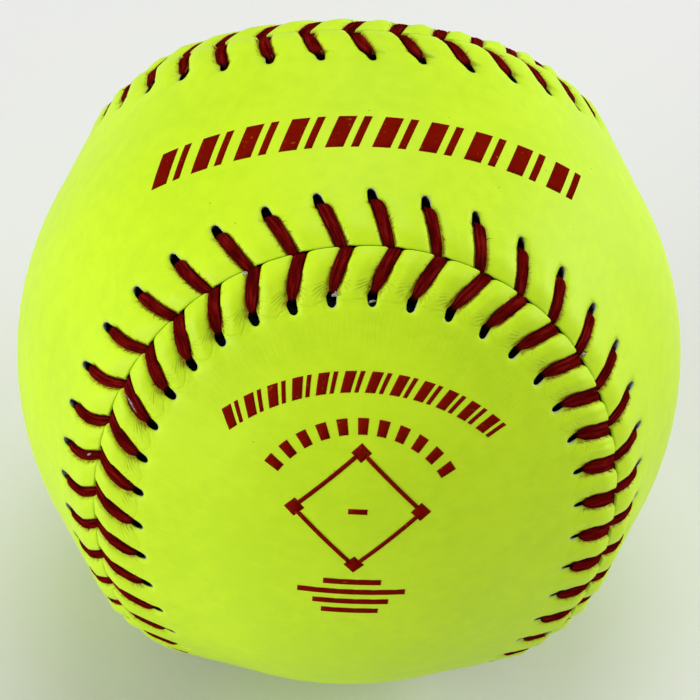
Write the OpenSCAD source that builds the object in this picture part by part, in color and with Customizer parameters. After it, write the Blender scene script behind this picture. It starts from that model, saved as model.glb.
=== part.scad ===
// A leather softball: a moulded core with a coat of cement on it, two figure-eight
// cover panels, and the two lacing threads that sew the panels edge to edge.
// The origin is the middle of the ball. +Z runs through the waist of the upper panel,
// whose lobes face +X and -X. The lobes of the lower panel face +Y and -Y.

/* [Ball] */
// Diameter over the smooth leather, away from the seam
ball_d = 96.4; // [90:0.2:104]
// Thickness of the leather
leather_t = 1.3; // [1.1:0.1:1.6]
// Thickness of the cement on the core
cement_t = 0.25; // [0.15:0.05:0.4]
// Room between the cement and the flat facets inside the cover
lay_gap = 0.65; // [0.65:0.05:0.8]

/* [Seam] */
// Curl of the seam line round each lobe, as a share of its plain turn
curl_share = 0.49; // [0.46:0.01:0.52]
// Swing of the seam line towards the poles, as a share of its plain turn
swing_share = 1.16; // [1.1:0.02:1.24]
// Height of the leather pillows between stitches, above the smooth leather
seam_rise = 2.2; // [1.9:0.1:2.6]
// Distance from the seam line to the crest of a pillow
crest_reach = 2.5; // [2.1:0.1:2.9]
// Distance from the seam line to where the cover is smooth again
blend_reach = 16; // [14:0.5:18]
// Gap between the two leather edges where they meet between stitches
seam_gap = 0.2; // [0.1:0.05:0.3]
// Gap between the two edges where the threads dive between them
dive_gap = 1.6; // [1.5:0.1:1.8]

/* [Awl holes] */
// Awl holes along the edge of each panel, a multiple of four
stitches = 88; // [80:4:96]
// Distance from the seam line to the widest place of a hole, where the thread goes down
hole_reach = 6.3; // [5.9:0.1:6.8]
// Length of a hole, square to the seam. The pull of the thread draws it out to a kite
hole_l = 2.2; // [2:0.1:2.4]
// Width of a hole, along the seam
hole_w = 1.5; // [1.4:0.1:1.7]
// How far a stitch pulls the leather down at the rim of its hole
hole_dip = 0.35; // [0.2:0.05:0.5]
// How far a stitch pulls the leather down where it crosses the crest
crest_dip = 0.75; // [0.6:0.05:0.9]

/* [Thread] */
// Width of the flattened thread where it lies over the leather
thread_w = 1.9; // [1.6:0.05:2]
// Width of the thread where it turns down into the seam
thread_dive_w = 1.4; // [1.2:0.05:1.5]
// Width of the thread inside a hole
thread_hole_w = 0.9; // [0.8:0.05:1]
// Thickness of the flattened thread
thread_t = 0.7; // [0.6:0.05:0.75]
// Clearance of the thread from the leather and from the other thread
thread_gap = 0.06; // [0.05:0.01:0.08]
// Height of a hidden run above the cement, at the ends of the run
run_lift = 0.2; // [0.15:0.05:0.3]

/* [Hidden] */
sphere_fn = 96;

// Radii of the layers
ball_r = ball_d/2;
coat_r = ball_r - leather_t - lay_gap;
core_r = coat_r - cement_t;

// A stitch slants along the seam by this share of a stitch before it dives
slant_share = 0.42;
// Stitches sit wider apart at the tips of the lobes. This is the furthest that one lies
// from its even place along the seam, as a share of a stitch
drift_share = 0.15;
// The part of a hole on the seam's side of its widest place, as a share of its length
near_share = 0.32;
// Heights of the rolled edge, as shares of the height of a pillow
lip_shares = [0.3, 0.55];
shoulder_share = 0.92;
// Width of the edge's roll, as a share of the way to the crest
roll_share = 0.3;
// Rows of facets across the smooth part of a panel
smooth_rows = 3;
// Corners of a bent thread are this much thicker at the most
corner_share = 1.2;
// Where the tucked ends of a thread lie on the way from its last dive to its first hole
tail_shares = [0.3, 0.65];

// Heights are measured from the smooth leather, outwards
run_h = -leather_t - lay_gap + run_lift + thread_t/2;
edge_h = run_h + thread_t/2 + 2*thread_gap;
hole_near = hole_reach - near_share*hole_l;
hole_far = hole_near + hole_l;
roll_w = roll_share*crest_reach;

// The seam line: a closed curve that a quarter turn and a mirror in z lay on itself
function unit(p) = p/norm(p);
function seam_raw(a) =
    [cos(a) - curl_share*cos(3*a), sin(a) + curl_share*sin(3*a), -swing_share*cos(2*a)];
function seam_rate(a) =
    [-sin(a) + 3*curl_share*sin(3*a), cos(a) + 3*curl_share*cos(3*a), 2*swing_share*sin(2*a)];
function seam_dir(a) = unit(seam_raw(a));
function seam_along(a) =
    let (p = seam_dir(a), d = seam_rate(a))
    unit(d - p*(p*d));

// Length run along the seam against its angle, over one quarter of the seam
table_steps = 90;
table_angle = 90/table_steps;
function seam_chord(i) = norm(seam_dir((i + 1)*table_angle) - seam_dir(i*table_angle));
seam_run = [for (i = 0, run = 0; i <= table_steps; run = run + seam_chord(i), i = i + 1)
    [run, i*table_angle]];
quarter_run = seam_run[table_steps][0];
quarter = stitches/4;
pitch = quarter_run*ball_r/quarter;

// The angle of a station: stations are steps along the seam, one to a stitch, even but
// for the drift
function station_angle(s) =
    let (drifted = s + drift_share*sin(360*s/quarter), q = floor(drifted/quarter))
    90*q + lookup((drifted/quarter - q)*quarter_run, seam_run);

// A point at a station, at a reach from the seam over one panel, at a height
function place(s, reach, h, side) =
    let (a = station_angle(s), g = reach/ball_r*180/PI, p = seam_dir(a))
    (ball_r + h)*(p*cos(g) + side*cross(p, seam_along(a))*sin(g));

// The panel's middle line in the XZ plane. A station's point on it lies between where the
// line square to the seam meets it and an even step along it
tip_angle = 0.5;
even_share = 0.6;
function square_angle(a) =
    let (along = seam_along(max(tip_angle, min(180 - tip_angle, a))))
    atan2(along.z, -along.x);
function middle_dir(s) =
    let (folded = min(s, stitches - s), even = square_angle(0)*(1 - folded/quarter))
    let (g = even_share*even + (1 - even_share)*square_angle(station_angle(folded)))
    [sin(g), 0, cos(g)];

// A direction part of the way along the great circle from p to q
function along_arc(p, q, share) =
    let (w = acos(p*q))
    (p*sin((1 - share)*w) + q*sin(share*w))/sin(w);

// Heights of the leather: on the pillows, and along the line that a stitch presses down
function pillow_h(reach) =
    seam_rise*pow(1 - (reach - crest_reach)/(blend_reach - crest_reach), 2);
rim_h = pillow_h(hole_near) - hole_dip;
far_rim_h = pillow_h(hole_far) - hole_dip/2;
shoulder_h = shoulder_share*seam_rise;
shoulder_reach = dive_gap/2 + roll_w;

// Lag of a leg at the seam, in stitches, so that the two threads dive side by side
beside = (thread_dive_w + thread_gap)/pitch;
function dive_lag(side) = slant_share - side*beside/2;

// Rows near the seam: reach, height and lag of the pressed line, then of the pillow line
function near_rows(lag) = [
    [dive_gap/2, lip_shares[0]*seam_rise, slant_share,
        seam_gap/2, lip_shares[1]*seam_rise, slant_share],
    [shoulder_reach, shoulder_h - crest_dip, lag, seam_gap/2 + roll_w, shoulder_h, lag],
    [crest_reach, seam_rise - crest_dip, crest_lag(lag), crest_reach, seam_rise, crest_lag(lag)],
    [hole_near, rim_h, 0, hole_near, pillow_h(hole_near), 0],
    [hole_far, far_rim_h, 0, hole_far, pillow_h(hole_far), 0]];
function crest_lag(lag) = lag*(1 - crest_reach/hole_reach);

// Faces between a ring of m*count points and a ring of count points
function band(a, b, count, m = 1) =
    let (h = ceil(m/2), many = m*count)
    [for (j = [0:count - 1]) let (k = (j + 1) % count) each concat(
        [for (i = [0:h - 1]) [a + m*j + i, a + (m*j + i + 1) % many, b + j]],
        [[a + (m*j + h) % many, b + k, b + j]],
        m == 1 ? [] : [for (i = [h:m - 1]) [a + m*j + i, a + (m*j + i + 1) % many, b + k]])];

// Faces between two rings that leave a four-cornered hole on each pressed line
function holed_band(a, b, left, right, count) =
    [for (n = [0:count - 1])
        let (m = 2*n, after = m + 1, before = (m + 2*count - 1) % (2*count))
        each [
            [a + before, a + m, left + n],
            [a + before, left + n, b + before],
            [left + n, b + m, b + before],
            [a + m, a + after, right + n],
            [a + after, b + after, right + n],
            [right + n, b + after, b + m]]];

// The same between two rings with points on the pressed lines alone
function plain_holed_band(a, b, left, right, count) =
    [for (n = [0:count - 1]) let (k = (n + 1) % count) each [
        [a + n, a + k, right + n],
        [right + n, a + k, left + k],
        [right + n, left + k, b + n],
        [left + k, b + k, b + n]]];

// Walls of the holes, from the outer rim down to the inner one
function hole_walls(outer, inner, count) =
    [for (n = [0:count - 1], c = [0:3])
        let (p = outer[c], q = outer[(c + 1) % 4], u = inner[c], w = inner[(c + 1) % 4])
        each [
            [p[0] + p[1]*n, u[0] + u[1]*n, q[0] + q[1]*n],
            [q[0] + q[1]*n, u[0] + u[1]*n, w[0] + w[1]*n]]];

// Faces across the smooth leather, each split along its shorter diagonal. Where the
// second row is the middle line, both sides of the panel share its points
function smooth_band(a, b, count, shared = false) =
    [for (j = [0:count - 1])
        let (k = (j + 1) % count, from_tip = floor(4*j/count) % 2 == 0)
        let (p = shared ? min(j, count - j) : j, q = shared ? min(j + 1, count - j - 1) : k)
        each from_tip
            ? [[a + j, a + k, b + p], [a + k, b + q, b + p]]
            : [[a + j, a + k, b + q], [a + j, b + q, b + p]]];

function flipped(faces) = [for (f = faces) [f[0], f[2], f[1]]];

// One cover panel, as the upper one lies. lag says where its legs dive
module cover_panel(lag) {
    rows = near_rows(lag);
    coarse = stitches/2;
    blend_mid = (hole_far + blend_reach)/2;
    side_h = rim_h + near_share*(far_rim_h - rim_h);
    half_hole = hole_w/2/pitch;

    near = [for (row = rows, n = [0:stitches - 1]) each [
        place(n + row[2], row[0], row[1], 1),
        place(n + row[5] + 1/2, row[3], row[4], 1)]];
    blend = [for (n = [0:stitches - 1]) place(n, blend_mid, pillow_h(blend_mid), 1)];
    smooth = [for (h = [0, -leather_t], i = [0:smooth_rows - 1], n = [0:coarse - 1])
        let (start = unit(place(2*n, blend_reach, 0, 1)))
        (ball_r + h)*along_arc(start, middle_dir(2*n), i/smooth_rows)];
    middle = [for (h = [0, -leather_t], n = [0:coarse/2]) (ball_r + h)*middle_dir(2*n)];
    foot = [for (n = [0:stitches - 1]) place(n + slant_share, dive_gap/2, edge_h, 1)];
    inner = [for (row = [rows[3], rows[4]], n = [0:stitches - 1])
        place(n, row[0], row[1] - leather_t, 1)];
    hole_sides = [for (h = [0, -leather_t], s = [-half_hole, half_hole], n = [0:stitches - 1])
        place(n + s, hole_reach, side_h + h, 1)];

    // Places of the rings in the list of points
    ring = 2*stitches;
    blend_at = len(rows)*ring;
    smooth_at = blend_at + stitches;
    under_at = smooth_at + smooth_rows*coarse;
    middle_at = under_at + smooth_rows*coarse;
    under_middle_at = middle_at + coarse/2 + 1;
    foot_at = under_middle_at + coarse/2 + 1;
    inner_at = foot_at + stitches;
    sides_at = inner_at + 2*stitches;
    last_row = (smooth_rows - 1)*coarse;

    outside = concat(
        [for (i = [0:2]) each band(i*ring, (i + 1)*ring, ring)],
        holed_band(3*ring, 4*ring, sides_at, sides_at + stitches, stitches),
        band(4*ring, blend_at, stitches, 2),
        band(blend_at, smooth_at, coarse, 2),
        [for (i = [0:smooth_rows - 2])
            each smooth_band(smooth_at + i*coarse, smooth_at + (i + 1)*coarse, coarse)],
        smooth_band(smooth_at + last_row, middle_at, coarse, shared = true));
    inside = concat(
        band(0, foot_at, stitches, 2),
        band(foot_at, inner_at, stitches),
        plain_holed_band(inner_at, inner_at + stitches,
            sides_at + 2*stitches, sides_at + 3*stitches, stitches),
        band(inner_at + stitches, under_at, coarse, 2),
        [for (i = [0:smooth_rows - 2])
            each smooth_band(under_at + i*coarse, under_at + (i + 1)*coarse, coarse)],
        smooth_band(under_at + last_row, under_middle_at, coarse, shared = true));
    walls = hole_walls(
        [[3*ring, 2], [sides_at + stitches, 1], [4*ring, 2], [sides_at, 1]],
        [[inner_at, 1], [sides_at + 3*stitches, 1], [inner_at + stitches, 1],
            [sides_at + 2*stitches, 1]],
        stitches);
    polyhedron(concat(near, blend, smooth, middle, foot, inner, hole_sides),
        concat(flipped(outside), inside, walls));
}

// Path of one thread: up through a hole, over to the seam, down, and under to the
// next hole of the other panel. Each entry has a point, a width and a station
function thread_path(first) =
    let (over = thread_t/2 + thread_gap, dive_reach = dive_gap/4)
    let (legs = [for (n = [0:stitches - 1])
        let (side = (n + first) % 2 == 0 ? 1 : -1, lag = dive_lag(side))
        each [
            [place(n, hole_reach, run_h, side), thread_hole_w, n],
            [place(n, hole_reach, rim_h + over, side), thread_hole_w, n],
            [place(n + crest_lag(lag), crest_reach, seam_rise - crest_dip + over, side),
                thread_w, n + crest_lag(lag)],
            [place(n + lag, dive_reach, shoulder_h - crest_dip + over, side),
                thread_dive_w, n + lag],
            [place(n + lag, 0, run_h, side), thread_hole_w, n + lag]]])
    let (from = legs[len(legs) - 1], to = legs[0])
    concat(
        [[from[0] + (to[0] - from[0])*tail_shares[1], thread_hole_w, 0]],
        legs,
        [[from[0] + (to[0] - from[0])*tail_shares[0], thread_hole_w, 0]]);

// The four corners of a flattened thread at a bend of its path
function thread_ring(path, i) =
    let (last = len(path) - 1, here = path[i][0])
    let (before = unit(i == 0 ? path[1][0] - here : here - path[i - 1][0]))
    let (after = unit(i == last ? here - path[i - 1][0] : path[i + 1][0] - here))
    let (bend = unit(before + after), along = seam_along(station_angle(path[i][2])))
    let (across = unit(along - bend*(along*bend)), up = cross(bend, across))
    let (w = across*path[i][1]/2, t = up*thread_t/2*min(corner_share, 1/(bend*before)))
    [here + w, here + t, here - w, here - t];

module lacing_thread(first) {
    path = thread_path(first);
    rings = len(path);
    points = [for (i = [0:rings - 1]) each thread_ring(path, i)];
    sides = [for (i = [0:rings - 2]) each flipped(band(4*i, 4*(i + 1), 4))];
    end_at = 4*(rings - 1);
    ends = [
        [0, 1, 2],
        [0, 2, 3],
        [end_at, end_at + 2, end_at + 1],
        [end_at, end_at + 3, end_at + 2]];
    polyhedron(points, concat(sides, ends));
}

// Lays an upper panel on the place of the lower one
module turned_over() {
    rotate([0, 0, 90]) mirror([0, 0, 1]) children();
}

module core() {
    color("Beige") sphere(core_r, $fn = sphere_fn);
}

module cement_coat() {
    color("Black") difference() {
        sphere(coat_r, $fn = sphere_fn);
        sphere(core_r, $fn = sphere_fn);
    }
}

module upper_cover_panel() {
    color("GreenYellow") cover_panel(dive_lag(1));
}

module lower_cover_panel() {
    color("GreenYellow") turned_over() cover_panel(dive_lag(-1));
}

module first_lacing_thread() {
    color("DarkRed") lacing_thread(0);
}

module second_lacing_thread() {
    color("DarkRed") lacing_thread(1);
}

core();
cement_coat();
upper_cover_panel();
lower_cover_panel();
first_lacing_thread();
second_lacing_thread();
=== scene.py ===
import math

import bpy
import mathutils
import numpy as np
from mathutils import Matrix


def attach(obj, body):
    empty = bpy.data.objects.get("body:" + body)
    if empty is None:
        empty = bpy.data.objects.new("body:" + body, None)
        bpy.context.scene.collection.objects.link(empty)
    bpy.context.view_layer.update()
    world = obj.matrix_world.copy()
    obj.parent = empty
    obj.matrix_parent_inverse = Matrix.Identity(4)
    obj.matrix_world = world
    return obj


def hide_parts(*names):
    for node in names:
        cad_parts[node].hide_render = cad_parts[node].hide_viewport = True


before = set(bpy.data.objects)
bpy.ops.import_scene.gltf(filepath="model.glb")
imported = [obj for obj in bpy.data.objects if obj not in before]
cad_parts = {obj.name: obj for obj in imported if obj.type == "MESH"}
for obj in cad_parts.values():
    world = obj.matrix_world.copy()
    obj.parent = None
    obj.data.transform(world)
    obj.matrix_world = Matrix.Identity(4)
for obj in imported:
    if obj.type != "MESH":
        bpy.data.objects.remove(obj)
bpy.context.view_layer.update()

# Sizes are in millimetres. Blender's own are in metres.
MM = 0.001

# Camera
# It looks down at the front lobe of the lower panel, from a little to the left. Its
# direction, roll and distance are those at which the seam falls as in the photograph.
toward_camera = np.array([-0.0582, -0.6462, 0.7610])
picture_up = np.array([-0.0346, 0.7631, 0.6453])
camera_distance = 543*MM
focal_pixels = 3723
picture_size = 700
ball_pixel = (348.9, 352.4)
sensor = 36
nearest_seen = 10*MM

toward_camera /= np.linalg.norm(toward_camera)
picture_up -= toward_camera*(picture_up @ toward_camera)
picture_up /= np.linalg.norm(picture_up)
picture_right = np.cross(picture_up, toward_camera)
bpy.ops.object.camera_add(location=toward_camera*camera_distance)
camera = bpy.context.object
turn = np.array([picture_right, picture_up, toward_camera]).T
camera.rotation_mode = "QUATERNION"
camera.rotation_quaternion = mathutils.Matrix(turn.tolist()).to_quaternion()
camera.data.sensor_width = sensor
camera.data.lens = focal_pixels/picture_size*sensor
camera.data.shift_x = (picture_size/2 - ball_pixel[0])/picture_size
camera.data.shift_y = (ball_pixel[1] - picture_size/2)/picture_size
camera.data.clip_start = nearest_seen
bpy.context.scene.camera = camera

# Cover panels
# Two figure-eight pieces of smooth dyed leather, cut alike. The edges are turned up
# against each other by the lacing, so that the leather swells into a pillow between
# each two stitches. An awl hole is punched through the leather for every stitch.
ball_r = 48.2
stitches = 88
leather_t = 1.3
foot_depth = 0.9

# The seam line: how it curls round each lobe and swings towards the poles, as shares of
# its plain turn, and how far the stitches drift along it, in stitches
curl = 0.49
swing = 1.16
station_drift = 0.15

# The pillows: their height, where they crest and where they end, how they fall, how their
# edge droops and rolls over, and how far their middles stand over their sides, with a
# belly more towards a lobe
rise = 2.3
crest = 2.5
blend = 16.0
fall_power = 1.65
droop_share = 0.12
edge_roll = 0.26
crown = 0.24
crown_reaches = [0, 1, 3, 5.8, 7.6]
crown_shares = [0.35, 0.8, 1, 0.6, 0]
belly = 0.2
belly_end = 7.6
belly_full = 5.6
swell_reaches = [0, 2, 6, 9]
swell_shares = [0.6, 1, 1, 0]

# The legs of the stitches: how far they slant, in stitches, and how far those of one
# panel dive beside those of the other, in millimetres. In a bow between lobe and waist
# they curve more, and those of the lower panel's side lie wider. At a waist the shoulder
# over the hole stands a little aside.
slant = 0.385
bow_slant = 0.08
beside = 1.26
bow_beside = 0.4
bow_power = {1: 1.1, -1: 0.4}
bow_narrow = {1: 0.14, -1: -0.16}
bow_hole_narrow = 0.12
shoulder_aside = 0.05
shoulder_start = 6.4
shoulder_full = 5.6
hole_at = 6.3
steepest = 1.1

# Round one stitch the legs are wide and hardly slant, and the holes are narrow
straight_at = 79
straight_reach = 6.0
straight_share = 0.53
straight_wide = 0.2
straight_hole_narrow = 0.45

# How deep and how wide a leg presses the leather
press_w = 1.04
press_reaches = [0, 0.5, 2.5, 5.5, 6.6, 7.8, 8.6]
press_depths = [0.86, 0.82, 0.7, 0.52, 0.3, 0.11, 0]

# The cut edge along the seam, which the legs draw in
seam_half_gap = 0.08
notch = 0.24
notch_w = 0.95
corner = {1: 0.07, -1: 0.12}
corner_at = 1.2
corner_w = 0.36

# The grid of a panel: columns to each stitch, the first few at their own distances from
# the leg, and rows by their reach from the seam. The dye shows a little way down the cut
# edge, and past some reach the columns no longer follow the width of the leg.
columns = 14
column_offsets = [0, 0.5, 0.88, 1.12, 1.42]
edge_steps = [0, 0, 0, 0.02, 0.06, 0.13, 0.24, 0.42, 0.8, 1.5, 2.3]
lit_wall = 0.4
near_rows = [3.1, 4.0, 4.7, 5.1]
hole_rows = [5.4, 5.65, 6.2, 6.85, 7.45, 7.75]
hole_half_widths = [0.3, 0.54, 0.67, 0.67, 0.56, 0.28]
far_rows = [8.05, 8.5, 9.2, 10.2, 11.5, 12.9, 14.4, 16.0]
middle_rows = 8
narrow_reaches = [4, 5.4]

# The holes: how far their rims roll in, how far they lean, and how much farther than most
# from the seam they lie. At the waist at the front they are the farthest.
rim_roll = 0.1
end_roll = 0.08
hole_lean = 0.3
lean_reaches = [5.5, 6.2, 7.7, 9]
tip_farther = 0.45
tip_reaches = [6.4, 7.7, 8, 10]
hole_reaches = [3, 6, 8, 10]
hole_pull_w = 1.6
front_waist = 66
waist_farther = 0.75
waist_nearer = 0.45

# The same for the holes at the front alone: on each side of the seam, at some of its
# stitches, changing evenly between them
front_holes = {
    1: ([50, 56, 58, 61, 64, 66, 69, 73, 77, 82], [0, 0.6, 0.35, -0.1, -0.35, 0, -0.5, -0.45, -0.6, 0]),
    -1: ([54, 59, 63, 64, 67, 70, 73, 77, 82], [0, -0.6, -0.8, -0.1, 0.25, -0.1, -0.9, -0.5, 0])}


def unit(v):
    return v/np.linalg.norm(v, axis=-1, keepdims=True)


def seam_direction(a):
    return unit(np.stack([
        np.cos(a) - curl*np.cos(3*a),
        np.sin(a) + curl*np.sin(3*a),
        -swing*np.cos(2*a)], axis=-1))


def seam_along(a):
    """A short step along the seam line."""
    step = 1e-4
    return seam_direction(a + step) - seam_direction(a - step)


# How far the seam has run at each of many angles
table_angles = np.linspace(0, 2*math.pi, 14401)
table_points = seam_direction(table_angles)
table_run = np.concatenate([[0], np.cumsum(np.linalg.norm(np.diff(table_points, axis=0), axis=1))])
pitch = table_run[-1]*ball_r/stitches


def station_angle(s):
    s = s + station_drift*np.sin(2*math.pi*s/(stitches/4))
    turns = np.floor(s/stitches)
    return 2*math.pi*turns + np.interp((s/stitches - turns)*table_run[-1], table_run, table_angles)


def place(s, reach, height, side):
    """Points at a station along the seam, a reach from it over one panel, and a height."""
    s, reach, height, side = np.broadcast_arrays(np.asarray(s, float), reach, height, side)
    a = station_angle(s)
    p = seam_direction(a)
    over_panel = side[..., None]*np.cross(p, unit(seam_along(a)))
    g = (reach/ball_r)[..., None]
    return (ball_r + height)[..., None]*(p*np.cos(g) + over_panel*np.sin(g))


def middle_direction(s):
    """The middle line of the upper panel at a station of its edge. It lies between where
    the line square to the seam meets it and an even step along it."""
    quarter = stitches/4
    end_angle = 0.009
    even_share = 0.6
    folded = np.minimum(s, stitches - s)
    along = seam_along(np.clip(station_angle(folded), end_angle, math.pi - end_angle))
    square = np.arctan2(along[..., 2], -along[..., 0])
    first = seam_along(end_angle)
    even = np.arctan2(first[2], -first[0])*(1 - folded/quarter)
    g = even_share*even + (1 - even_share)*square
    return np.stack([np.sin(g), 0*g, np.cos(g)], axis=-1)


def smooth_step(value, low, high):
    t = np.clip((value - low)/(high - low), 0, 1)
    return t*t*(3 - 2*t)


def lobe_nearness(n, side):
    """One at the tip of a lobe of the panel on that side, nothing at its waist."""
    return 0.5 + 0.5*side*np.cos(4*math.pi*n/stitches)


def pillow(reach):
    """Height of the leather between stitches."""
    fall = np.clip((reach - crest)/(blend - crest), 0, 1)
    inner = np.clip(1 - reach/crest, 0, 1)
    rolled = np.clip(1 - reach/edge_roll, 0, 1)
    near = 1 - droop_share*inner**2
    above = rise*np.where(reach < crest, near, (1 - fall)**fall_power)
    return above - edge_roll*(1 - np.sqrt(1 - rolled**2))


def crowned(reach):
    """Rise of a pillow's middle over its sides."""
    return crown*np.interp(reach, crown_reaches, crown_shares)


def pressed(reach):
    """Depth to which a leg presses the leather."""
    return np.interp(reach, press_reaches, press_depths)


# Small differences between the stitches: in stitches, in millimetres, or as shares
rng = np.random.default_rng(7)
varied = {
    "lag": rng.uniform(-0.03, 0.03, (2, stitches)),
    "hole": rng.uniform(-0.15, 0.15, (2, stitches)),
    "skew": rng.uniform(-0.16, 0.16, (2, stitches)),
    "press": rng.uniform(0.9, 1.1, (2, stitches)),
    "width": rng.uniform(0.94, 1.06, (2, stitches)),
    "swell": rng.uniform(-0.08, 0.08, (2, stitches))}
for hole_side, (some_stitches, farther) in front_holes.items():
    varied["hole"][(hole_side + 1)//2] += np.interp(np.arange(stitches), some_stitches, farther)


def of_stitch(name, n, side):
    return varied[name][np.where(np.asarray(side) > 0, 1, 0), np.asarray(n, int) % stitches]


def of_side(pair, side):
    return np.where(np.asarray(side) > 0, pair[1], pair[-1])


def bow_nearness(n):
    """One half way between a lobe and a waist, nothing at either."""
    return np.sin(4*math.pi*n/stitches)**2


def hole_shift(n, side):
    """How much farther from the seam than most a hole is."""
    waist = 1 - lobe_nearness(n, side)
    to_front = np.cos(2*math.pi*(n - front_waist)/stitches)
    return of_stitch("hole", n, side) + waist*(waist_farther*to_front - waist_nearer)


def straightness(n):
    """One at the stitch whose legs hardly slant, nothing far from it."""
    away = (n - straight_at + stitches/2) % stitches - stitches/2
    return np.exp(-(away/straight_reach)**2)


def leg_narrowness(n, side):
    return 1 - bow_nearness(n)*(of_side(bow_narrow, side) - straight_wide*straightness(n))


def hole_narrowness(n):
    return 1 - bow_hole_narrow*bow_nearness(n) - straight_hole_narrow*np.sqrt(straightness(n))


def lag(reach, n, side):
    """How far a leg has slanted along the seam, in stitches."""
    bow = bow_nearness(n)
    apart = beside*(1 - bow_beside*bow)/pitch
    start = slant + bow_slant*bow - side*apart/2 - straight_share*straightness(n)
    power = 1 + of_side(bow_power, side)*bow + straightness(n)
    aside = shoulder_aside*(1 - lobe_nearness(n, side))*smooth_step(reach, shoulder_start, shoulder_full)
    jitter = of_stitch("lag", n, side)*np.interp(reach, [0, hole_at], [1, 0])
    return start*np.clip(1 - reach/hole_at, 0, 1)**power + aside + jitter


def widened(reach, n, side):
    """How much longer a width square to a slanting leg is when it is taken along the seam."""
    step = 0.05
    slope = pitch*(lag(reach - step, n, side) - lag(reach + step, n, side))/(2*step)
    return np.sqrt(1 + np.minimum(np.abs(slope), steepest)**2)


def leg_ground(reach, n, side):
    """Height of the leather under a leg."""
    return pillow(reach) - pressed(reach)*of_stitch("press", n, side) - crowned(reach)/2


doubles_within = 1e-7


def corner_places(mesh):
    """The x, y and z of a mesh's corners, in metres."""
    points = np.empty(len(mesh.vertices)*3)
    mesh.vertices.foreach_get("co", points)
    return points.reshape(-1, 3).T


def corners_by_face(mesh):
    """The number of the corner at each face corner of a mesh."""
    corner_of = np.empty(len(mesh.loops), int)
    mesh.loops.foreach_get("vertex_index", corner_of)
    return corner_of


def laid_grid(name, points, uvs):
    """A grid whose corners are laid at points, and its face corners at uvs."""
    rows, across = points.shape[:2]
    bpy.ops.mesh.primitive_grid_add(x_subdivisions=across - 1, y_subdivisions=rows - 1, size=1)
    piece = bpy.context.object
    piece.name = name
    mesh = piece.data
    mesh.name = name
    mesh.vertices.foreach_set("co", (points*MM).ravel())
    corner_of = corners_by_face(mesh)
    face = np.repeat(np.arange(len(mesh.polygons)), 4)
    for layer_name, values in uvs.items():
        layer = mesh.uv_layers.get(layer_name) or mesh.uv_layers.new(name=layer_name)
        layer.data.foreach_set("uv", values(corner_of, face).ravel())
    mesh.update()
    return piece


# The rows of a panel's grid from the edge inwards, and for each of its columns the number
# of the nearest leg, how many columns it is past it, and how near it is to a lobe
row_reaches = edge_steps + near_rows + hole_rows + far_rows
first_hole_row = len(edge_steps + near_rows)
last_hole_row = first_hole_row + len(hole_rows) - 1
total_columns = stitches*columns
column = np.arange(total_columns + 1)
leg = (column + columns//2)//columns
past_leg = column - leg*columns
lobe = lobe_nearness(column/columns, 1)


def row_across(i, at, own, side):
    """How far the corners of a row lie past their legs, along the seam and square to the leg.
    Also how narrow the leg is, the length of a stitch, and how near a corner is to the
    middle of its pillow."""
    near_end = 0.05
    ends = place(leg + near_end, at, 0, 1) - place(leg - near_end, at, 0, 1)
    stitch_length = np.linalg.norm(ends, axis=-1)/(2*near_end)
    wide = widened(at, own, side)
    offsets = list(column_offsets)
    narrow = 1 + (leg_narrowness(own, side) - 1)*np.interp(at, narrow_reaches, [1, 0])
    if first_hole_row <= i <= last_hole_row:
        offsets[1] = hole_half_widths[i - first_hole_row]
        narrow = narrow*np.where(np.abs(past_leg) == 1, hole_narrowness(own), 1)
    fixed = len(offsets) - 1
    inner = np.interp(np.abs(past_leg), np.arange(fixed + 1), offsets)*narrow
    outer_share = (np.abs(past_leg) - fixed)/(columns/2 - fixed)
    edge = offsets[-1]*narrow*wide
    outer = edge + (stitch_length/2 - edge)*outer_share
    along = np.sign(past_leg)*np.where(np.abs(past_leg) <= fixed, inner*wide, outer)
    off = along/wide
    middle_share = np.clip((np.abs(off) - 1)/(stitch_length/2/wide - 1), 0, 1)
    return along, off, narrow, stitch_length, middle_share


def row_reach(i, off, narrow, side):
    """How far from the seam the corners of a row lie, before the holes move them."""
    if i >= len(edge_steps):
        return np.full(total_columns + 1, row_reaches[i])
    gap = seam_half_gap + notch*np.exp(-(off/narrow/notch_w)**4)
    gap = gap + corner[side]*np.exp(-((off/narrow - corner_at)/corner_w)**2)
    return gap + row_reaches[i]


def moved_by_hole(reach, off, own, side):
    """How far a hole takes the leather round it away from the seam, and along it."""
    near_leg = np.exp(-(off/hole_pull_w)**4)
    waist = 1 - lobe_nearness(own, side)
    tip_moved = tip_farther*waist**2*np.interp(reach, tip_reaches, [0, 1, 1, 0])
    hole_moved = hole_shift(own, side)*np.interp(reach, hole_reaches, [0, 1, 1, 0])
    skew = of_stitch("skew", own, side) - hole_lean*waist
    skew = skew*np.interp(reach, lean_reaches, [0, 0, 1, 0])*near_leg
    return (hole_moved + tip_moved)*near_leg, skew


def row_height(i, reach, off, narrow, middle_share, own, side):
    """Height of the leather at the corners of a row."""
    if i == 0:
        return np.full(total_columns + 1, -foot_depth)
    valley = np.exp(-(off/narrow/press_w)**8)
    height = pillow(np.minimum(reach, blend)) - pressed(reach)*valley*of_stitch("press", own, side)
    height = height + crowned(reach)*(np.sin(middle_share*math.pi/2) - 0.5)
    bellied = belly*lobe*smooth_step(reach, belly_end, belly_full)
    height = height + bellied*np.minimum(reach/2, 1)*middle_share
    swell = of_stitch("swell", own, side)*np.interp(reach, swell_reaches, swell_shares)
    height = height + swell*middle_share
    if i == 1:
        height = height - lit_wall
    if first_hole_row <= i <= last_hole_row:
        height = height - rim_roll*(np.abs(past_leg) <= 1)
    return height


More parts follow.
